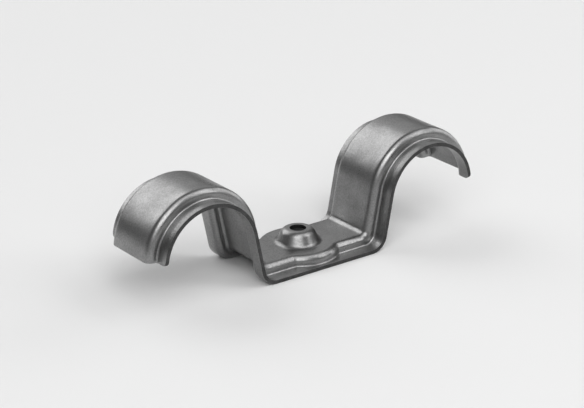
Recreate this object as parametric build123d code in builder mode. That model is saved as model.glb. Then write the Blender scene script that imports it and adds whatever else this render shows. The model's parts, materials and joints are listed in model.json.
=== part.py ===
from build123d import *
import os
from math import atan, cos, pi, radians, sin, sqrt, tan

# Double cable clip: one strip of sheet steel pressed to a flat foot with a saddle at each end.
# A broad raised rib runs along the middle of the strip from one mouth to the other, with a flange
# on each side of it. Over the foot the rib widens to a round pad that carries the screw boss.
# X runs along the strip, Y across it and Z up from the wall, with the screw axis on Z.
# Lengths are in millimetres and angles in degrees.

# Saddles and legs
cable_diameter = 25.0  # round cable or conduit that each saddle holds
grip = 0.6  # height by which a saddle is lower than its cable, so that it clamps
sheet = 1.0  # thickness of the steel
foot_length = 29.6  # flat foot between the two bends
leg_lean = 11.5  # outward lean of a leg from upright
mouth_angle = 5.5  # angle above level at which a saddle ends

# Section of the strip, the same all the way along
rib_width = 16.1  # outside, from wall to wall
rib_height = 2.75  # rise of the rib above the flanges
flange_width = 3.65  # from the rib's wall to the edge of the strip
crown_radius = 1.25  # on top, where the rib turns down into a wall
root_ease = 0.4  # flat at 45 degrees on top, where a wall turns out into a flange
bend_radius = 0.9  # top of the rib, where the foot turns up into a leg
corner_radius = 1.3  # corners of the strip's ends, seen flat

# Pad and screw boss
pad_margin = 1.25  # flange left between the pad and the edge of the strip
pad_blend = 1.6  # where the pad's wall runs into the rib's straight walls
boss_height = 3.5  # rise of the boss above the pad
boss_top = 7.4  # diameter where the cone would meet the boss's flat top
boss_base = 10.6  # diameter where the cone would meet the pad
shoulder_radius = 1.3  # between the cone and the flat top
skirt_radius = 0.8  # between the pad and the cone
screw_hole = 4.15  # clearance for the screw

# Worked out from the sizes above
strip_width = rib_width + 2 * flange_width
rib_top = sheet + rib_height
under_ease = root_ease + sheet * (2 - sqrt(2))
half_foot = foot_length / 2
pad_radius = strip_width / 2 - pad_margin
saddle_radius = cable_diameter / 2
saddle_height = saddle_radius - grip
bend_outside = bend_radius + rib_top
lean_sin = sin(radians(leg_lean))
lean_cos = cos(radians(leg_lean))
lean_rise = (saddle_height - bend_outside) * lean_sin
saddle_centre = half_foot + (saddle_radius + bend_outside + lean_rise) / lean_cos
touch = 1e-4  # slack when edges are chosen by their place


def strip_section(plane):
    """Cut through the strip, with the cable side of the flanges on the plane's X axis."""
    edge = strip_width / 2
    wall = rib_width / 2
    inner_wall = wall - sheet
    half = [
        (inner_wall, rib_height),
        (inner_wall, under_ease),
        (inner_wall + under_ease, 0),
        (edge, 0),
        (edge, sheet),
        (wall + root_ease, sheet),
        (wall, sheet + root_ease),
        (wall, rib_top),
    ]
    half_radii = [0] * (len(half) - 1) + [crown_radius]
    other_half = [(-x, y) for x, y in reversed(half)]
    with BuildSketch(plane) as section:
        with BuildLine():
            FilletPolyline(*half, *other_half, radius=half_radii + half_radii[::-1], close=True)
        make_face()
    return section.sketch


def rib_outline(inset):
    """Plan of the rib over the foot with its round pad, drawn in by an inset."""
    with BuildSketch() as outline:
        Rectangle(foot_length, rib_width - 2 * inset)
        Circle(pad_radius - inset)
        meeting = outline.vertices().filter_by(lambda corner: abs(corner.X) < half_foot - touch)
        fillet(meeting, pad_blend + inset)
    return outline.sketch


def inner_edges(part, level):
    """Level edges of the foot at one height, without those round its rim."""
    edges = part.edges().filter_by(Plane.XY).filter_by_position(Axis.Z, level - touch, level + touch)
    return [
        edge
        for edge in edges
        if abs(edge.center().X) < half_foot - touch and abs(edge.center().Y) < strip_width / 2 - touch
    ]


# Flat foot with the rib and its pad pressed up out of it
with BuildPart() as foot:
    with BuildSketch():
        Rectangle(foot_length, strip_width)
    extrude(amount=sheet)
    add(rib_outline(0))
    extrude(amount=rib_top)
    add(rib_outline(sheet))
    extrude(amount=rib_height, mode=Mode.SUBTRACT)
    fillet(inner_edges(foot, rib_top), crown_radius)
    chamfer(inner_edges(foot, sheet), root_ease)
    chamfer(inner_edges(foot, 0), under_ease)

# Arm at the +X end: bend, leg and saddle, with the strip's section carried along
bend_end = (half_foot + bend_outside * lean_cos, 0, bend_outside * (1 - lean_sin))
saddle_start = (saddle_centre - saddle_radius * lean_cos, 0, saddle_height + saddle_radius * lean_sin)
leg_length = (saddle_start[2] - bend_end[2]) / lean_cos
leg_way = (lean_sin, 0, lean_cos)
mouth_reach = saddle_radius + rib_height + sheet / 2
mouth_middle = (
    saddle_centre + mouth_reach * cos(radians(mouth_angle)),
    0,
    saddle_height + mouth_reach * sin(radians(mouth_angle)),
)
with BuildPart() as arm:
    foot_end = strip_section(Plane((half_foot, 0, 0), x_dir=(0, 1, 0), z_dir=(1, 0, 0)))
    revolve(foot_end, axis=Axis((half_foot, 0, bend_outside), (0, -1, 0)), revolution_arc=90 - leg_lean)
    leg_foot = strip_section(Plane(bend_end, x_dir=(0, 1, 0), z_dir=leg_way))
    extrude(leg_foot, amount=leg_length)
    leg_top = strip_section(Plane(saddle_start, x_dir=(0, 1, 0), z_dir=leg_way))
    saddle_axis = Axis((saddle_centre, 0, saddle_height), (0, 1, 0))
    revolve(leg_top, axis=saddle_axis, revolution_arc=180 - leg_lean - mouth_angle)
    mouth = arm.faces().sort_by_distance(mouth_middle)[0]
    mouth_ends = mouth.edges().group_by(Axis.Y)
    fillet(mouth_ends[0] + mouth_ends[-1], corner_radius)

# Wall of the screw boss, drawn in half section and turned about the screw axis
boss_crest = rib_top + boss_height
boss_rim = boss_base / 2 + skirt_radius
cone_lean = atan((boss_base - boss_top) / 2 / boss_height)
wall_shift = sheet * tan(pi / 4 - cone_lean / 2)
boss_wall = [
    (screw_hole / 2, boss_crest),
    (boss_top / 2, boss_crest),
    (boss_base / 2, rib_top),
    (boss_rim, rib_top),
    (boss_rim, rib_height),
    (boss_base / 2 - wall_shift, rib_height),
    (boss_top / 2 - wall_shift, boss_crest - sheet),
    (screw_hole / 2, boss_crest - sheet),
]
boss_radii = [0, shoulder_radius, skirt_radius, 0, 0, 0, 0, 0]
with BuildPart() as boss:
    with BuildSketch(Plane.XZ):
        with BuildLine():
            FilletPolyline(*boss_wall, radius=boss_radii, close=True)
        make_face()
    revolve(axis=Axis.Z)

with BuildPart() as double_clip:
    add(foot.part)
    add(arm.part)
    mirror(arm.part, about=Plane.YZ)
    Cylinder(boss_rim, rib_top, align=(Align.CENTER, Align.CENTER, Align.MIN), mode=Mode.SUBTRACT)
    add(boss.part)

double_clip.part.label = "double_clip"
os.makedirs("parts", exist_ok=True)
export_step(double_clip.part, "parts/double_clip.step")
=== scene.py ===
"""Looks of the double cable clip: the pressed strip in zinc-plated steel, on a pale floor in soft light."""
import json
from math import acos, cos, pi, radians, sin, sqrt, tan

import bpy
from bpy.props import FloatProperty, FloatVectorProperty, PointerProperty
from mathutils import Matrix, Vector


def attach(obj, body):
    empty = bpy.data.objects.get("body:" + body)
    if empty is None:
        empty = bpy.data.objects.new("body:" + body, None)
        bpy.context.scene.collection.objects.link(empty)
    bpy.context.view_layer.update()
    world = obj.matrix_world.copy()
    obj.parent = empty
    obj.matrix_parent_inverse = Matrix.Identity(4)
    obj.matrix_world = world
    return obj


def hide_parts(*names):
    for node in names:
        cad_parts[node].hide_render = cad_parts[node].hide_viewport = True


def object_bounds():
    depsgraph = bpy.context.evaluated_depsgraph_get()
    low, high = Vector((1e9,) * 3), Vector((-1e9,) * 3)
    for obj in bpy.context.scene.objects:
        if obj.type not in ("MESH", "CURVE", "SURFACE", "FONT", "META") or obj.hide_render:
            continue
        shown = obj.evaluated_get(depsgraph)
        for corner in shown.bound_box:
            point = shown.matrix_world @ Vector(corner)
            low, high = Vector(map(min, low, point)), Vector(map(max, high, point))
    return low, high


bl_info = {
    "name": "Double cable clip",
    "version": (1, 0, 0),
    "blender": (4, 5, 0),
    "location": "View3D > Sidebar > Clip",
    "description": "Presses the clip from a flat blank and sets its stage",
    "category": "Object",
}

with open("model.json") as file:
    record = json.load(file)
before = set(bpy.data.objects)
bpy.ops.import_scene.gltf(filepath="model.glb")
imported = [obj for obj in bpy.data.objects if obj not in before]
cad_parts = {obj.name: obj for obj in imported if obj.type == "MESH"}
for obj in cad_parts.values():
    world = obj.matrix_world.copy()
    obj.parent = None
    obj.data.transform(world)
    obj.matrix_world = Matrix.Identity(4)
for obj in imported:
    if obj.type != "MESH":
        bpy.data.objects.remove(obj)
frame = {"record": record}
CAD_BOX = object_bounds()
MM = 0.001
MOUNTS = {mount["name"]: mount for mount in frame["record"]["mounts"]}
SADDLE = MOUNTS["right_saddle"]
SCREW = MOUNTS["screw_hole"]

# Faces that each stretch of the strip is divided into
WINDOW_STEPS = 24  # along each side of the window that the boss is set into
CROWN_STEPS = 8
WALL_STEPS = 2
ROOT_STEPS = 6
FLANGE_STEPS = 2
PAD_STEPS = 6  # from the window to just past the pad
FOOT_STEPS = 5  # from there to where the rib eases into the bend
EASE_STEPS = 3
BEND_STEPS = 12
LEG_STEPS = 6
SADDLE_STEPS = 64
CORNER_STEPS = 8
SKIRT_STEPS = 7
SHOULDER_STEPS = 9
TOP_STEPS = 3  # flat ring round the hole
EDGE_STEPS = 3

# Room that the grid leaves, as shares of the sizes
CORNER_ROOM = 1.25  # for a round corner, in corner radii
PAD_REACH = 1.1  # end of the pad's stretch, in distances to the end of its blend
RIM_ROOM = 0.7  # from the boss's base to its rim, in skirt radii
WINDOW_ROOM = 0.3  # from the boss's rim to its window, in sheet thicknesses

TOUCH = 1e-6  # slack when edges are chosen by their place
EDGE_ANGLE = radians(50)  # edges sharper than this are rounded
SMOOTH_ANGLE = radians(40)  # edges flatter than this are shaded smooth

# Stage, in metres unless a note says otherwise
PICTURE_WIDTH = 584  # pixels
SENSOR_WIDTH = 36.0  # millimetres, as the lens is
CLIP_START = 0.01
FLOOR_RADIUS = 4.0
FLOOR_SIDES = 96
FLOOR_GAP = 0.02 * MM  # keeps the floor just clear of the flanges
WORLD_STRENGTH = 0.1
LAMP_DISTANCE = 1.4
# Name, azimuth and elevation in degrees, width, height, and power in watts
LAMPS = (
    ("back_softbox", 101, 36, 1.24, 1.06, 8.8),
    ("front_softbox", 234, 40, 1.20, 0.96, 11.4),
    ("right_softbox", 311, 37, 0.52, 1.00, 4.7),
    ("top_softbox", 272, 72, 0.90, 0.64, 3.2),
    ("rim_softbox", 54, 36, 0.80, 1.10, 1.5),
    ("right_panel", 358, 20, 1.06, 0.90, 5.8),
    ("crown_panel", 342, 54, 0.56, 0.44, 1.6),
)


def length(name, description, millimetres):
    """A length that a user may change, written in millimetres and kept in metres."""
    return FloatProperty(
        name=name, description=description, default=millimetres * MM, unit="LENGTH", precision=5
    )


def angle(name, description, turn):
    """An angle that a user may change, written in degrees and kept in radians."""
    return FloatProperty(name=name, description=description, default=radians(turn), subtype="ANGLE")


def linear(code):
    """Linear colour of an sRGB hex value."""
    channels = [int(code[place:place + 2], 16) / 255 for place in (1, 3, 5)]
    return [c / 12.92 if c <= 0.04045 else ((c + 0.055) / 1.055) ** 2.4 for c in channels] + [1.0]


def colour(name, description, code):
    """A colour that a user may change, written as an sRGB hex value and kept linear."""
    return FloatVectorProperty(
        name=name, description=description, default=linear(code), size=4, min=0.0, max=1.0, subtype="COLOR"
    )


class ClipSizes(bpy.types.PropertyGroup):
    """Sizes of the pressed strip."""

    saddle_radius: length("Saddle radius", "Inside of a saddle", SADDLE["dims"]["r_mm"])
    sheet: length("Sheet", "Thickness of the steel", SCREW["dims"]["length_mm"])
    foot_length: length("Foot length", "Flat foot between the two bends", 29.6)
    leg_lean: angle("Leg lean", "Outward lean of a leg from upright", 11.5)
    mouth_angle: angle("Mouth angle", "Angle above level at which a saddle ends", 4.4)
    rib_width: length("Rib width", "Outside, from wall to wall", 16.1)
    rib_height: length("Rib height", "Rise of the rib above the flanges", 2.75)
    crown_radius: length("Crown radius", "On top, where the rib turns down into a wall", 1.8)
    root_radius: length("Root radius", "On top, where a wall turns out into a flange", 0.5)
    bend_radius: length("Bend radius", "Inside of the bend, at the height of the rib", 0.9)
    rib_bend: length("Rib bend", "Top of the rib, where it eases round the bend", 1.5)
    corner_radius: length("Corner radius", "Corners of the strip's ends, seen flat", 1.3)
    edge_radius: length("Edge radius", "Rounding that shearing leaves on the edges", 0.08)
    pad_margin: length("Pad margin", "Flange left between the pad and the strip's edge", 1.25)
    pad_blend: length("Pad blend", "Where the pad's wall runs into the straight walls", 1.2)
    boss_top: length("Boss top", "Diameter where the cone would meet the flat top", 7.9)
    boss_base: length("Boss base", "Diameter where the cone would meet the pad", 11.0)
    shoulder_radius: length("Shoulder radius", "Between the cone and the flat top", 1.85)
    skirt_radius: length("Skirt radius", "Between the pad and the cone", 1.35)
    screw_hole: length("Screw hole", "Diameter of the hole", 2 * SCREW["dims"]["r_mm"])


class ClipFinish(bpy.types.PropertyGroup):
    """Colours of the plated steel and of its sheared edges."""

    zinc: colour("Zinc", "Satin zinc plating", "#999999")
    zinc_dull: colour("Dull zinc", "Patches where the plating is duller", "#7F7F7F")
    edge: colour("Sheared edge", "Steel along the sheared edges", "#565656")
    edge_dull: colour("Torn edge", "Where the shear tore the steel", "#424242")


class ClipStage(bpy.types.PropertyGroup):
    """Camera, floor and light."""

    azimuth: angle("Azimuth", "Camera's turn about the screw axis, from the front", -36.27)
    elevation: angle("Elevation", "Camera's height above level", 21.99)
    roll: angle("Roll", "Camera's turn about its own axis", -0.54)
    distance: length("Distance", "From the camera to the point it aims at", 520.85)
    aim_height: length("Aim height", "Point on the screw axis that the aim starts from", 12.0)
    aim_right: length("Aim right", "Aim moved to the picture's right", -1.437)
    aim_up: length("Aim up", "Aim moved up the picture", 1.502)
    focal_pixels: FloatProperty(
        name="Focal length", description="In pixels of the picture", default=2077.8, subtype="PIXEL"
    )
    floor: colour("Floor", "Pale paper under the clip", "#E4E4E4")


def add_node(tree, kind, settings=None, links=None):
    """One node with its settings, socket values and incoming links."""
    node = tree.nodes.new(kind)
    for name, value in (settings or {}).items():
        if name in node.inputs:
            node.inputs[name].default_value = value
        else:
            setattr(node, name, value)
    for name, source in (links or {}).items():
        tree.links.new(source, node.inputs[name])
    return node


class Press:
    """Where each point of the flat blank goes when the strip is pressed and bent."""

    def __init__(self, sizes):
        self.size = sizes
        self.edge = (CAD_BOX[1][1] - CAD_BOX[0][1]) / 2
        self.wall = sizes.rib_width / 2
        self.rib_top = sizes.sheet + sizes.rib_height
        self.half_foot = sizes.foot_length / 2
        self.bend_outside = sizes.bend_radius + self.rib_top
        self.centre = Vector((SADDLE["pos_m"][0], SADDLE["pos_m"][2]))
        self.flat = self.wall - sizes.crown_radius
        self.crown_end = self.flat + sizes.crown_radius * pi / 2
        self.wall_end = self.crown_end + sizes.rib_height - sizes.crown_radius - sizes.root_radius
        self.root_end = self.wall_end + sizes.root_radius * pi / 2
        self.blank_edge = self.root_end + self.edge - self.wall - sizes.root_radius
        self.bend_end = self.half_foot + self.bend_outside * (pi / 2 - sizes.leg_lean)
        lean = Vector((sin(sizes.leg_lean), cos(sizes.leg_lean)))
        self.leg_way = lean
        self.leg_out = Vector((-lean.y, lean.x))
        self.leg_foot = Vector((self.half_foot, self.bend_outside)) - self.leg_out * self.bend_outside
        saddle_start = self.centre + self.leg_out * sizes.saddle_radius
        self.leg_end = self.bend_end + (saddle_start - self.leg_foot).length
        self.blank_end = self.leg_end + sizes.saddle_radius * (pi - sizes.leg_lean - sizes.mouth_angle)
        self.bend_half = (pi / 2 - sizes.leg_lean) / 2
        self.ease = (sizes.rib_bend - sizes.bend_radius) * tan(self.bend_half)
        self.boss_rim = sizes.boss_base / 2 + RIM_ROOM * sizes.skirt_radius
        self.window = self.boss_rim + WINDOW_ROOM * sizes.sheet
        self.pad_radius = self.edge - sizes.pad_margin
        reach = self.pad_radius + sizes.pad_blend
        self.blend_x = sqrt(reach ** 2 - (self.wall + sizes.pad_blend) ** 2)
        self.pad_x = self.blend_x * self.pad_radius / reach

    def pad_wall(self, x):
        """Distance of the rib's wall from the middle line at a place along the foot, and its slant."""
        x = abs(x)
        if x >= self.blend_x:
            return self.wall, 1.0
        if x > self.pad_x:
            blend = self.size.pad_blend
            rise = sqrt(blend ** 2 - (x - self.blend_x) ** 2)
            return self.wall + blend - rise, blend / rise
        out = sqrt(self.pad_radius ** 2 - x ** 2)
        return out, self.pad_radius / out

    def lift(self, along):
        """Rise of the rib where its top eases round the bend."""
        radius = self.size.rib_bend
        before = self.half_foot - along
        after = along - self.bend_end
        beside = max(before, after)
        if beside >= self.ease:
            return 0.0
        if beside >= 0:
            return radius - sqrt(radius ** 2 - (self.ease - beside) ** 2)
        turn = (along - self.half_foot) / self.bend_outside - self.bend_half
        apart = (radius - self.size.bend_radius) / cos(self.bend_half)
        reach = sqrt(radius ** 2 - (apart * sin(turn)) ** 2) - apart * cos(turn)
        return self.size.bend_radius - reach

    def section(self, across, along):
        """Place across the strip and height over the cable side, for a distance across the blank."""
        size = self.size
        wall, slant = self.pad_wall(along)
        offset = abs(across)
        if offset <= self.flat:
            y = offset / self.flat * (wall - size.crown_radius * slant)
            height = self.rib_top
        elif offset <= self.crown_end:
            turn = (offset - self.flat) / size.crown_radius
            y = wall - size.crown_radius * (1 - sin(turn)) * slant
            height = self.rib_top - size.crown_radius * (1 - cos(turn))
        elif offset <= self.wall_end:
            y = wall
            height = self.rib_top - size.crown_radius - (offset - self.crown_end)
        elif offset <= self.root_end:
            turn = (offset - self.wall_end) / size.root_radius
            y = wall + size.root_radius * (1 - cos(turn)) * slant
            height = size.sheet + size.root_radius * (1 - sin(turn))
        else:
            root = wall + size.root_radius * slant
            y = root + (offset - self.root_end) / (self.blank_edge - self.root_end) * (self.edge - root)
            height = size.sheet
        height += (height - size.sheet) / size.rib_height * self.lift(abs(along))
        return (y if across >= 0 else -y), height

    def point(self, along, across):
        """Place in the finished clip of a point of the blank."""
        size = self.size
        y, height = self.section(across, along)
        run = abs(along)
        if run <= self.half_foot:
            spot = Vector((run, height))
        elif run <= self.bend_end:
            turn = (run - self.half_foot) / self.bend_outside
            middle = Vector((self.half_foot, self.bend_outside))
            spot = middle + Vector((sin(turn), -cos(turn))) * (self.bend_outside - height)
        elif run <= self.leg_end:
            spot = self.leg_foot + self.leg_way * (run - self.bend_end) + self.leg_out * height
        else:
            turn = pi - size.leg_lean - (run - self.leg_end) / size.saddle_radius
            spot = self.centre + Vector((cos(turn), sin(turn))) * (size.saddle_radius + height)
        return Vector((spot.x if along >= 0 else -spot.x, y, spot.y))


def even_steps(start, end, count):
    """Places from just after the start up to the end, in equal steps."""
    return [start + (end - start) * step / count for step in range(1, count + 1)]


def grid_lines(stretches):
    """Places of lines on both sides of the middle, for stretches given by end and number of steps."""
    places = []
    start = 0.0
    for end, count in stretches:
        places += even_steps(start, end, count)
        start = end
    return [-place for place in reversed(places)] + [0.0] + places


def select_where(mesh, kind, test):
    """Select only the vertices, edges or faces of a mesh in edit mode that pass a test on their middle."""
    bpy.ops.object.mode_set(mode="OBJECT")
    for group in (mesh.vertices, mesh.edges, mesh.polygons):
        group.foreach_set("select", [False] * len(group))
    if kind == "VERT":
        for vertex in mesh.vertices:
            vertex.select = test(vertex.co)
    elif kind == "EDGE":
        for edge in mesh.edges:
            first, second = (mesh.vertices[index].co for index in edge.vertices)
            edge.select = test(first) and test(second)
    else:
        for face in mesh.polygons:
            face.select = test(face.center)
    bpy.ops.object.mode_set(mode="EDIT")
    bpy.ops.mesh.select_mode(type=kind)


def arc_points(corner, before, after, radius, count):
    """Points of a round corner between two straight runs, from one tangent point to the other."""
    to_before = (Vector(before) - Vector(corner)).normalized()
    to_after = (Vector(after) - Vector(corner)).normalized()
    half = acos(to_before.dot(to_after)) / 2
    middle = Vector(corner) + (to_before + to_after).normalized() * radius / sin(half)
    start = Vector(corner) + to_before * radius / tan(half) - middle
    end = Vector(corner) + to_after * radius / tan(half) - middle
    whole = pi - 2 * half
    points = []
    for step in range(count + 1):
        share = step / count
        points.append(middle + (start * sin((1 - share) * whole) + end * sin(share * whole)) / sin(whole))
    return points


def lay_out_blank(press):
    """The flat blank as a grid whose lines lie where the press will bend it."""
    size = press.size
    window = press.window
    corner_room = size.corner_radius * CORNER_ROOM
    across = grid_lines([
        (press.flat, WINDOW_STEPS // 2),
        (press.crown_end, CROWN_STEPS),
        (press.wall_end, WALL_STEPS),
        (press.root_end, ROOT_STEPS),
        (press.blank_edge - corner_room, FLANGE_STEPS),
        (press.blank_edge, 1),
    ])
    along = grid_lines([
        (window, WINDOW_STEPS // 2),
        (press.blend_x * PAD_REACH, PAD_STEPS),
        (press.half_foot - press.ease, FOOT_STEPS),
        (press.half_foot, EASE_STEPS),
        (press.bend_end, BEND_STEPS),
        (press.bend_end + press.ease, EASE_STEPS),
        (press.leg_end, LEG_STEPS),
        (press.blank_end - corner_room, SADDLE_STEPS),
        (press.blank_end, 1),
    ])

    bpy.ops.object.select_all(action="DESELECT")
    bpy.ops.mesh.primitive_grid_add(x_subdivisions=len(along) - 1, y_subdivisions=len(across) - 1, size=1)
    blank = bpy.context.object
    blank.name = blank.data.name = "pressed_strip"
    for vertex in blank.data.vertices:
        row = round((vertex.co.x + 0.5) * (len(along) - 1))
        column = round((vertex.co.y + 0.5) * (len(across) - 1))
        vertex.co = (along[row], across[column], 0)

    near_end = press.blank_end - corner_room / 2
    near_edge = press.blank_edge - corner_room / 2
    select_where(blank.data, "VERT", lambda co: abs(co.x) > near_end and abs(co.y) > near_edge)
    bpy.ops.mesh.bevel(affect="VERTICES", offset=size.corner_radius, segments=CORNER_STEPS)
    select_where(blank.data, "FACE", lambda co: abs(co.x) < window and abs(co.y) < press.flat)
    bpy.ops.mesh.delete(type="FACE")
    bpy.ops.object.mode_set(mode="OBJECT")
    return blank


def boss_profile(press):
    """Radius and height of the boss's upper skin, from the pad in to the edge of the hole."""
    size = press.size
    crest = SCREW["pos_m"][2] + size.sheet / 2
    rim = (press.boss_rim, press.rib_top)
    base = (size.boss_base / 2, press.rib_top)
    top = (size.boss_top / 2, crest)
    hole = (size.screw_hole / 2, crest)
    skirt = arc_points(base, rim, top, size.skirt_radius, SKIRT_STEPS)
    shoulder = arc_points(top, base, hole, size.shoulder_radius, SHOULDER_STEPS)
    ring = even_steps(shoulder[-1].x, hole[0], TOP_STEPS)
    return [Vector(rim)] + skirt + shoulder + [Vector((radius, crest)) for radius in ring]


def raise_boss(strip, press):
    """Draw the boss up from a circle on the pad, ring by ring, and join it to the window's edge."""
    profile = boss_profile(press)
    start = profile[0]
    select_where(strip.data, "VERT", lambda co: False)
    bpy.ops.mesh.primitive_circle_add(vertices=4 * WINDOW_STEPS, radius=start.x, location=(0, 0, start.y))
    for lower, upper in zip(profile, profile[1:]):
        ratio = upper.x / lower.x
        bpy.ops.mesh.extrude_edges_move()
        bpy.ops.transform.resize(value=(ratio, ratio, 1), center_override=(0, 0, 0))
        bpy.ops.transform.translate(value=(0, 0, upper.y - lower.y))

    def at_joint(co):
        """On the boss's rim or on the edge of the window."""
        level = abs(co.z - press.rib_top) < TOUCH
        on_side = abs(abs(co.x) - press.window) < TOUCH
        wall, slant = press.pad_wall(co.x)
        crown = wall - press.size.crown_radius * slant
        on_crown = abs(abs(co.y) - crown) < TOUCH
        inside = abs(co.x) < press.window + TOUCH and abs(co.y) < crown + TOUCH
        on_rim = abs(co.to_2d().length - start.x) < TOUCH
        return level and (on_rim or (inside and (on_side or on_crown)))

    select_where(strip.data, "EDGE", at_joint)
    bpy.ops.mesh.bridge_edge_loops()
    bpy.ops.mesh.select_all(action="SELECT")
    bpy.ops.mesh.remove_doubles(threshold=TOUCH)
    bpy.ops.mesh.normals_make_consistent(inside=False)
    bpy.ops.object.mode_set(mode="OBJECT")
    top_face = max(strip.data.polygons, key=lambda face: face.center.z)
    if top_face.normal.z < 0:
        bpy.ops.object.mode_set(mode="EDIT")
        bpy.ops.mesh.flip_normals()
        bpy.ops.object.mode_set(mode="OBJECT")


def apply_modifier(piece, kind, settings):
    """Add one modifier with its settings and apply it at once."""
    modifier = piece.modifiers.new(kind.title(), kind)
    for name, value in settings.items():
        setattr(modifier, name, value)
    bpy.ops.object.modifier_apply(modifier=modifier.name)


def mottled_metal(name, tones, patch, grain, roughness, dent):
    """A metal that goes from a dull tone to a bright one in soft patches, broken up by a fine grain."""
    material = bpy.data.materials.new(name)
    material.use_nodes = True
    tree = material.node_tree
    shader = tree.nodes["Principled BSDF"]
    place = add_node(tree, "ShaderNodeTexCoord").outputs["Object"]
    clouds = add_node(tree, "ShaderNodeTexNoise", {"Scale": 1 / patch, "Detail": 3.0}, {"Vector": place})
    specks = add_node(tree, "ShaderNodeTexNoise", {"Scale": 1 / grain, "Detail": 2.0}, {"Vector": place})
    both = add_node(
        tree, "ShaderNodeMath", {"operation": "ADD"}, {0: clouds.outputs["Fac"], 1: specks.outputs["Fac"]}
    )
    # The two noises mostly add up to between 0.7 and 1.3.
    share = add_node(
        tree, "ShaderNodeMapRange", {"From Min": 0.7, "From Max": 1.3}, {"Value": both.outputs["Value"]}
    ).outputs["Result"]
    dull, bright = tones
    tone = add_node(
        tree, "ShaderNodeMix", {"data_type": "RGBA", "A": list(dull), "B": list(bright)}, {"Factor": share}
    )
    matt, glossy = roughness
    gloss = add_node(tree, "ShaderNodeMapRange", {"To Min": matt, "To Max": glossy}, {"Value": share})
    dents = add_node(
        tree, "ShaderNodeBump", {"Strength": 0.6, "Distance": dent}, {"Height": specks.outputs["Fac"]}
    )
    shader.inputs["Metallic"].default_value = 1.0
    tree.links.new(tone.outputs["Result"], shader.inputs["Base Color"])
    tree.links.new(gloss.outputs["Result"], shader.inputs["Roughness"])
    tree.links.new(dents.outputs["Normal"], shader.inputs["Normal"])
    return material


def satin_zinc(finish):
    """Satin zinc plating on pressed sheet steel."""
    # Soft grey reflections with duller patches about 7 mm across. The plating's real grain is near
    # 0.1 mm and is drawn at 0.4 mm, so that it shows.
    tones = finish.zinc_dull, finish.zinc
    return mottled_metal(
        "satin_zinc_plating", tones, patch=7 * MM, grain=0.4 * MM, roughness=(0.42, 0.27), dent=0.02 * MM
    )


def sheared_steel(finish):
    """Sheared steel along the rim and round the hole."""
    # A dull, dark cut, torn in places about 2 mm long. The real tear is near 0.1 mm fine and is
    # drawn at 0.3 mm, so that it shows.
    tones = finish.edge_dull, finish.edge
    return mottled_metal(
        "sheared_steel_edge", tones, patch=2 * MM, grain=0.3 * MM, roughness=(0.6, 0.42), dent=0.03 * MM
    )


def matt_paper(tone):
    """Matt paper under the clip."""
    # No shine and no pattern, so that the floor keeps one even tone round the clip's shadow.
    material = bpy.data.materials.new("pale_paper")
    material.use_nodes = True
    shader = material.node_tree.nodes["Principled BSDF"]
    shader.inputs["Base Color"].default_value = tone
    shader.inputs["Roughness"].default_value = 0.9
    shader.inputs["Specular IOR Level"].default_value = 0.1
    return material


class CLIP_OT_press_strip(bpy.types.Operator):
    """Press the clip from a flat blank, with its rounds and its boss"""

    bl_idname = "clip.press_strip"
    bl_label = "Press strip"

    def execute(self, context):
        sizes = context.scene.clip_sizes
        press = Press(sizes)
        strip = lay_out_blank(press)
        for vertex in strip.data.vertices:
            vertex.co = press.point(vertex.co.x, vertex.co.y)
        raise_boss(strip, press)
        strip.data.materials.append(satin_zinc(context.scene.clip_finish))
        strip.data.materials.append(sheared_steel(context.scene.clip_finish))
        apply_modifier(
            strip,
            "SOLIDIFY",
            {
                "thickness": sizes.sheet,
                "offset": -1,
                "use_even_offset": True,
                "use_quality_normals": True,
                "material_offset_rim": 1,
            },
        )
        apply_modifier(
            strip,
            "BEVEL",
            {
                "width": sizes.edge_radius,
                "segments": EDGE_STEPS,
                "limit_method": "ANGLE",
                "angle_limit": EDGE_ANGLE,
                "use_clamp_overlap": False,
            },
        )
        bpy.ops.object.shade_smooth_by_angle(angle=SMOOTH_ANGLE)
        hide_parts("double_clip")
        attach(strip, "root")
        return {"FINISHED"}


def soft_light(name, azimuth, elevation, width, height, power):
    """A soft light that shines at the clip, from a direction in degrees."""
    lamp = bpy.data.lights.new(name, "AREA")
    lamp.shape = "RECTANGLE"
    lamp.size, lamp.size_y = width, height
    lamp.energy = power
    light = bpy.data.objects.new(name, lamp)
    around, above = radians(azimuth), radians(elevation)
    spot = Vector((cos(around) * cos(above), sin(around) * cos(above), sin(above))) * LAMP_DISTANCE
    light.location = spot
    light.rotation_euler = spot.to_track_quat("Z", "Y").to_euler()
    bpy.context.scene.collection.objects.link(light)


def aim_camera(scene, stage):
    """The camera, at the picture's viewing angle."""
    back = Vector((
        sin(stage.azimuth) * cos(stage.elevation),
        -cos(stage.azimuth) * cos(stage.elevation),
        sin(stage.elevation),
    ))
    level = Vector((cos(stage.azimuth), sin(stage.azimuth), 0))
    right = Matrix.Rotation(stage.roll, 3, back) @ level
    up = back.cross(right)
    aim = Vector((0, 0, stage.aim_height)) + right * stage.aim_right + up * stage.aim_up
    lens = bpy.data.cameras.new("camera")
    lens.sensor_fit = "HORIZONTAL"
    lens.sensor_width = SENSOR_WIDTH
    lens.lens = SENSOR_WIDTH * stage.focal_pixels / PICTURE_WIDTH
    lens.clip_start = CLIP_START
    camera = bpy.data.objects.new("camera", lens)
    camera.location = aim + back * stage.distance
    camera.rotation_euler = Matrix((right, up, back)).transposed().to_euler()
    scene.collection.objects.link(camera)
    scene.camera = camera


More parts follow.
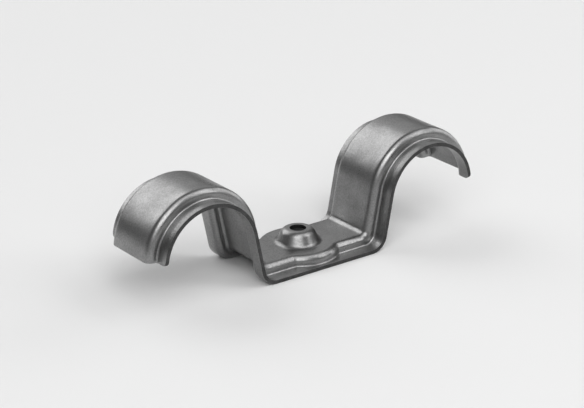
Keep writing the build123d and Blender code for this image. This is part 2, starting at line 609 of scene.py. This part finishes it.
class CLIP_OT_set_stage(bpy.types.Operator):
    """Lay the floor, place the lights and set the camera"""

    bl_idname = "clip.set_stage"
    bl_label = "Set stage"

    def execute(self, context):
        scene = context.scene
        stage = scene.clip_stage
        bpy.ops.object.select_all(action="DESELECT")
        bpy.ops.mesh.primitive_circle_add(
            vertices=FLOOR_SIDES, radius=FLOOR_RADIUS, fill_type="NGON", location=(0, 0, -FLOOR_GAP)
        )
        floor = context.object
        floor.name = "floor"
        floor.data.materials.append(matt_paper(stage.floor))

        world = bpy.data.worlds.new("studio")
        world.use_nodes = True
        background = world.node_tree.nodes["Background"]
        background.inputs["Color"].default_value = (1, 1, 1, 1)
        background.inputs["Strength"].default_value = WORLD_STRENGTH
        scene.world = world
        for lamp in LAMPS:
            soft_light(*lamp)
        aim_camera(scene, stage)
        scene.view_settings.view_transform = "Standard"
        return {"FINISHED"}


class CLIP_PT_sidebar(bpy.types.Panel):
    """Clip's sizes, finish and stage"""

    bl_idname = "CLIP_PT_sidebar"
    bl_label = "Double cable clip"
    bl_space_type = "VIEW_3D"
    bl_region_type = "UI"
    bl_category = "Clip"

    def draw(self, context):
        layout = self.layout
        for operator in OPERATORS:
            layout.operator(operator.bl_idname)
        for group in SETTINGS:
            settings = getattr(context.scene, group)
            for name in settings.bl_rna.properties.keys():
                if name not in ("rna_type", "name"):
                    layout.prop(settings, name)


SETTINGS = {"clip_sizes": ClipSizes, "clip_finish": ClipFinish, "clip_stage": ClipStage}
OPERATORS = (CLIP_OT_press_strip, CLIP_OT_set_stage)
CLASSES = tuple(SETTINGS.values()) + OPERATORS + (CLIP_PT_sidebar,)


def register():
    """Register the classes and give the scene its settings."""
    for entry in CLASSES:
        bpy.utils.register_class(entry)
    for name, group in SETTINGS.items():
        setattr(bpy.types.Scene, name, PointerProperty(type=group))


def unregister():
    """Take the settings and the classes away again."""
    for name in SETTINGS:
        delattr(bpy.types.Scene, name)
    for entry in reversed(CLASSES):
        bpy.utils.unregister_class(entry)


def main():
    """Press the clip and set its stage."""
    register()
    bpy.ops.clip.press_strip()
    bpy.ops.clip.set_stage()


if __name__ == "__main__":
    main()
